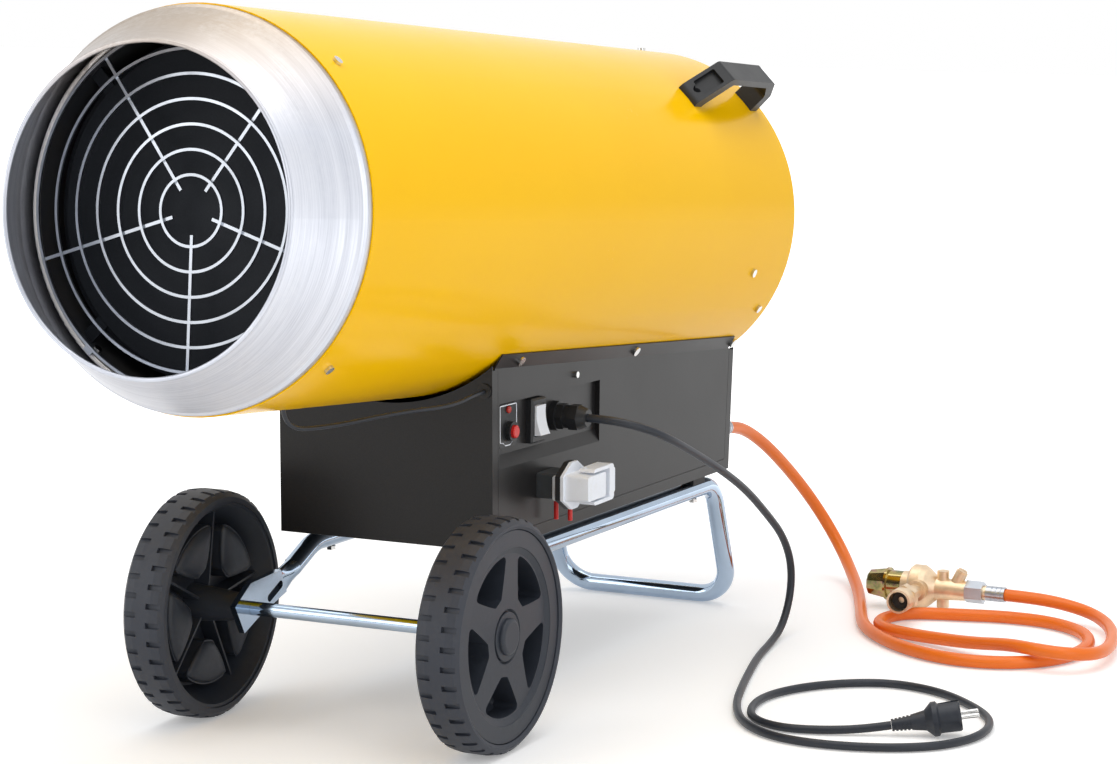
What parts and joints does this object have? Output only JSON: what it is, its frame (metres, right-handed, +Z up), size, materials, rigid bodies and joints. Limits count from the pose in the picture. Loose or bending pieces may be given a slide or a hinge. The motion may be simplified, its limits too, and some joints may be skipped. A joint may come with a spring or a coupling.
{
  "type": "gas forced-air heater",
  "caption": "Wheeled gas forced-air heater: tilted sheet drum with outlet cone and grille, burner and fan inside, control box below, tube cart, hose with regulator, mains cord.",
  "frame": {"origin": "on the floor under the middle of the heater's drum and outlet cone", "axes": "+Z up, -Y the way the hot air leaves, +X the side with the controls"},
  "size_m": [0.8567, 1.3616, 0.7817],
  "materials": {
    "yellow_paint": "gloss",
    "bare_aluminium": "brushed",
    "zinc_wire": "bright zinc",
    "zinc_tube": "bright zinc",
    "black_powder_coat": "satin powder coat",
    "heatproof_black": "matt heatproof",
    "chamber_steel": "satin",
    "dark_steel": "satin",
    "screw_steel": "bright zinc",
    "moulded_black": "fine grain",
    "wheel_plastic": "satin",
    "tyre_rubber": "matt",
    "black_rubber": "matt",
    "cord_black": "satin",
    "hose_orange": "satin",
    "grey_plastic": "satin",
    "white_plastic": "satin",
    "red_plastic": "gloss",
    "clear_lamp": "gloss",
    "cast_brass": "as cast",
    "turned_brass": "turned",
    "yellow_chromate": "yellow chromate",
    "ceramic": "glazed"
  },
  "bodies": {
    "heater_body": {"drum_casing": "yellow_paint", "outlet_cone": "bare_aluminium", "outlet_grille": "zinc_wire", "casing_screws": "screw_steel", "combustion_chamber": "chamber_steel", "chamber_stands": "dark_steel", "flame_disc": "heatproof_black", "burner_cup": "chamber_steel", "gas_jet": "turned_brass", "gas_pipe": "turned_brass", "ignition_electrode": "ceramic", "flame_probe": "ceramic", "fan_motor": "heatproof_black", "motor_bracket": "dark_steel", "rear_grille": "black_powder_coat", "handle_right": "moulded_black", "handle_left": "moulded_black", "base_box": "black_powder_coat", "side_cover_right": "black_powder_coat", "side_cover_left": "black_powder_coat", "reset_plate": "moulded_black", "fault_lamp": "clear_lamp", "switch_frame": "moulded_black", "cable_gland": "moulded_black", "gland_nut": "moulded_black", "connector_socket": "grey_plastic", "connector_gasket": "black_rubber", "connector_hood": "white_plastic", "test_point_caps": "red_plastic", "solenoid_valve": "turned_brass", "feed_pipe": "turned_brass", "control_unit": "grey_plastic", "lead_grommet": "black_rubber", "ignition_lead": "cord_black", "chassis_tube": "zinc_tube", "rail_pads": "black_rubber", "rail_bolts": "screw_steel", "axle": "zinc_tube", "axle_washers": "wheel_plastic", "hub_cap_right": "wheel_plastic", "hub_cap_left": "wheel_plastic", "gas_inlet": "turned_brass", "hose_fittings": "zinc_wire", "gas_hose": "hose_orange", "regulator_body": "cast_brass", "regulator_cap": "yellow_chromate", "union_seal": "black_rubber", "mains_cord": "cord_black", "mains_plug": "cord_black", "plug_pins": "screw_steel"},
    "fan_body": {"fan": "bare_aluminium", "motor_shaft": "dark_steel"},
    "wheel_right_body": {"wheel_right": "wheel_plastic", "tyre_right": "tyre_rubber"},
    "wheel_left_body": {"wheel_left": "wheel_plastic", "tyre_left": "tyre_rubber"},
    "rocker_body": {"switch_rocker": "white_plastic"},
    "button_body": {"reset_button": "red_plastic"},
    "lever_body": {"connector_lever": "white_plastic"},
    "union_nut_body": {"union_nut": "cast_brass"}
  },
  "joints": [
    {"name": "fan_spin", "type": "hinge", "parent": "heater_body", "child": "fan_body", "pos_m": [0, 0.3479, 0.508], "axis": [0, 0.996, -0.0898], "continuous": true},
    {"name": "wheel_right_spin", "type": "hinge", "parent": "heater_body", "child": "wheel_right_body", "pos_m": [0.1756, -0.19715, 0.124], "axis": [1, 0, 0], "continuous": true},
    {"name": "wheel_left_spin", "type": "hinge", "parent": "heater_body", "child": "wheel_left_body", "pos_m": [-0.1756, -0.19715, 0.124], "axis": [1, 0, 0], "continuous": true},
    {"name": "switch_tilt", "type": "hinge", "parent": "heater_body", "child": "rocker_body", "pos_m": [0.13, 0.00025, 0.318], "axis": [0, -0.9997, 0.0262], "range_deg": [0, 18]},
    {"name": "reset_press", "type": "slide", "parent": "heater_body", "child": "button_body", "axis": [-1, 0, 0], "range_m": [0, 0.003], "stiffness_N_per_m": 400},
    {"name": "latch_swing", "type": "hinge", "parent": "heater_body", "child": "lever_body", "pos_m": [0.1816, 0.01825, 0.246], "axis": [0, 0, -1], "range_deg": [0, 75]},
    {"name": "union_turn", "type": "hinge", "parent": "heater_body", "child": "union_nut_body", "pos_m": [0.35217, 0.55033, 0.03269], "axis": [0.0797, -0.9964, 0.0299], "continuous": true}
  ]
}
